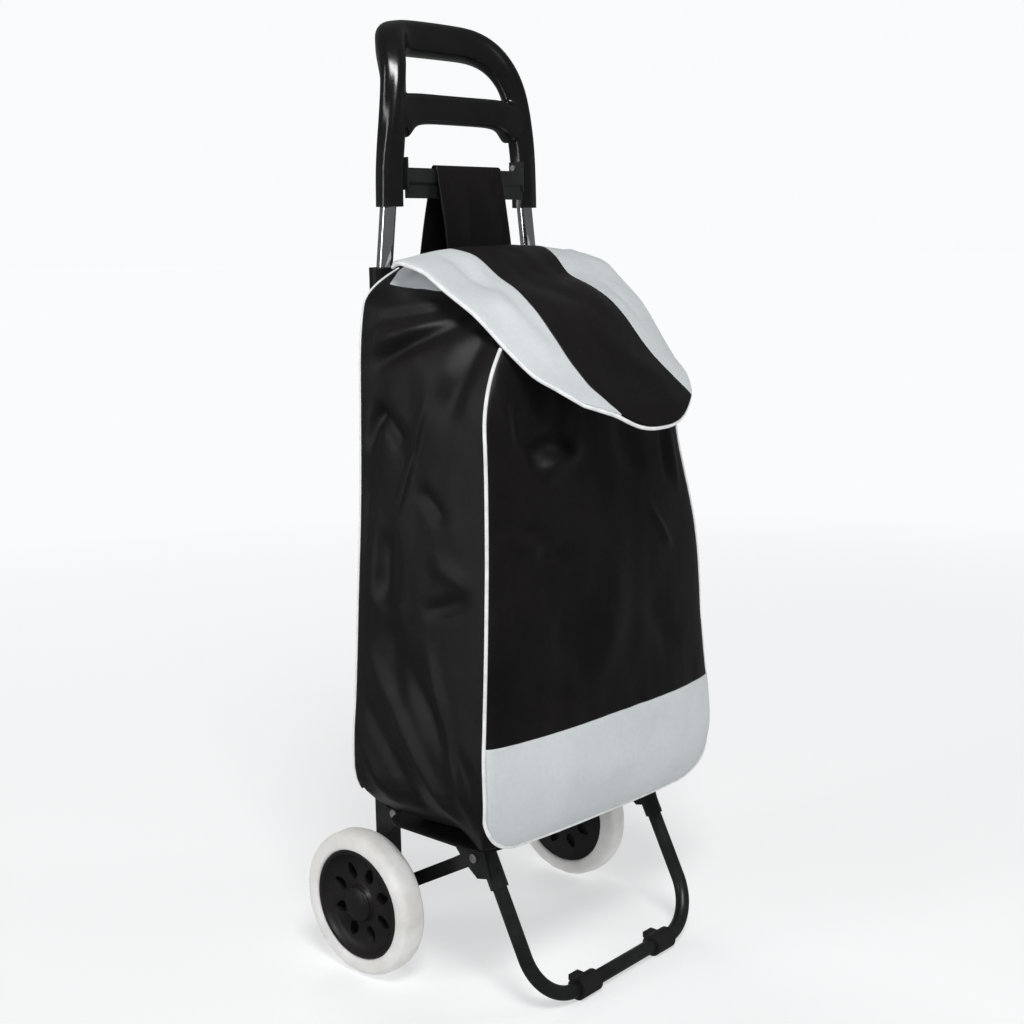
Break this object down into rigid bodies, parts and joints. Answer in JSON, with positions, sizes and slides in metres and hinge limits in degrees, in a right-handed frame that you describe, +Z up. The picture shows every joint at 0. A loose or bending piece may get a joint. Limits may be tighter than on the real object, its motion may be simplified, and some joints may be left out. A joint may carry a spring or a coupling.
{
  "type": "shopping trolley",
  "caption": "Folding two-wheeled shopping trolley with a black and light-grey fabric bag, lifting flap, chrome uprights, moulded handle and folding stand leg.",
  "frame": {"origin": "on the floor, at the middle of the footprint", "axes": "+Z up, the front of the bag faces -Y, the axle runs along X"},
  "size_m": [0.37, 0.326, 0.9507],
  "materials": {
    "chrome_tube": "polished",
    "black_steel": "satin powder coat",
    "zinc_steel": "satin",
    "handle_plastic": "gloss",
    "hub_plastic": "matte",
    "clip_plastic": "satin",
    "tyre_foam": "matte",
    "black_fabric": "woven polyester",
    "grey_fabric": "woven polyester",
    "white_piping": "smooth corded"
  },
  "bodies": {
    "frame": {"axle": "zinc_steel", "axle_nuts": "zinc_steel", "axle_washers": "zinc_steel", "bag_back_panel": "black_fabric", "bag_collar": "grey_fabric", "bag_front_band": "grey_fabric", "bag_front_panel": "black_fabric", "bag_piping": "white_piping", "bag_side_left": "black_fabric", "bag_side_right": "black_fabric", "handle": "handle_plastic", "hanger_bar": "black_steel", "hanger_screws": "zinc_steel", "hanging_strap": "black_fabric", "platform_pivot_rivets": "zinc_steel", "rear_bracket_left": "black_steel", "rear_bracket_right": "black_steel", "tube_casing": "black_fabric", "tube_rivets": "zinc_steel", "upright_tube_left": "chrome_tube", "upright_tube_right": "chrome_tube"},
    "wheel_left": {"wheel_left_cap": "hub_plastic", "wheel_left_rim": "hub_plastic", "wheel_left_tyre": "tyre_foam"},
    "wheel_right": {"wheel_right_cap": "hub_plastic", "wheel_right_rim": "hub_plastic", "wheel_right_tyre": "tyre_foam"},
    "platform": {"platform_rail_left": "black_steel", "platform_rail_right": "black_steel", "platform_cross_tube": "black_steel", "bag_bottom": "black_fabric", "leg_pivot_rod": "zinc_steel"},
    "leg_stand": {"leg_bracket_left": "black_steel", "leg_bracket_right": "black_steel", "standing_leg": "black_steel", "foot_clip_left": "clip_plastic", "foot_clip_right": "clip_plastic", "leg_bracket_rivets": "zinc_steel"},
    "stays": {"stay_left": "black_steel", "stay_right": "black_steel", "stay_rivets": "zinc_steel"},
    "flap": {"flap_centre": "black_fabric", "flap_side_left": "grey_fabric", "flap_side_right": "grey_fabric", "flap_piping": "white_piping"}
  },
  "joints": [
    {"name": "wheel_left_spin", "type": "hinge", "parent": "frame", "child": "wheel_left", "pos_m": [-0.16, 0.088, 0.075], "axis": [1, 0, 0], "continuous": true},
    {"name": "wheel_right_spin", "type": "hinge", "parent": "frame", "child": "wheel_right", "pos_m": [0.16, 0.088, 0.075], "axis": [1, 0, 0], "continuous": true},
    {"name": "platform_fold", "type": "hinge", "parent": "frame", "child": "platform", "pos_m": [0, 0.069, 0.165], "axis": [-1, 0, 0], "range_deg": [0, 80], "deforming": ["bag_front_panel", "bag_front_band", "bag_side_left", "bag_side_right", "bag_piping", "bag_collar"]},
    {"name": "leg_fold", "type": "hinge", "parent": "platform", "child": "leg_stand", "pos_m": [0, -0.012, 0.164], "axis": [1, 0, 0], "range_deg": [0, 116]},
    {"name": "stay_fold", "type": "hinge", "parent": "frame", "child": "stays", "pos_m": [0, 0.088, 0.075], "axis": [-1, 0, 0], "range_deg": [0, 43]},
    {"name": "flap_lift", "type": "hinge", "parent": "frame", "child": "flap", "pos_m": [0, 0.0565, 0.718], "axis": [-1, 0, 0], "range_deg": [0, 75]}
  ],
  "couplings": [
    {"joint": "leg_fold", "follows": "platform_fold", "ratio": 1.4392},
    {"joint": "stay_fold", "follows": "platform_fold", "ratio": 0.53025}
  ]
}
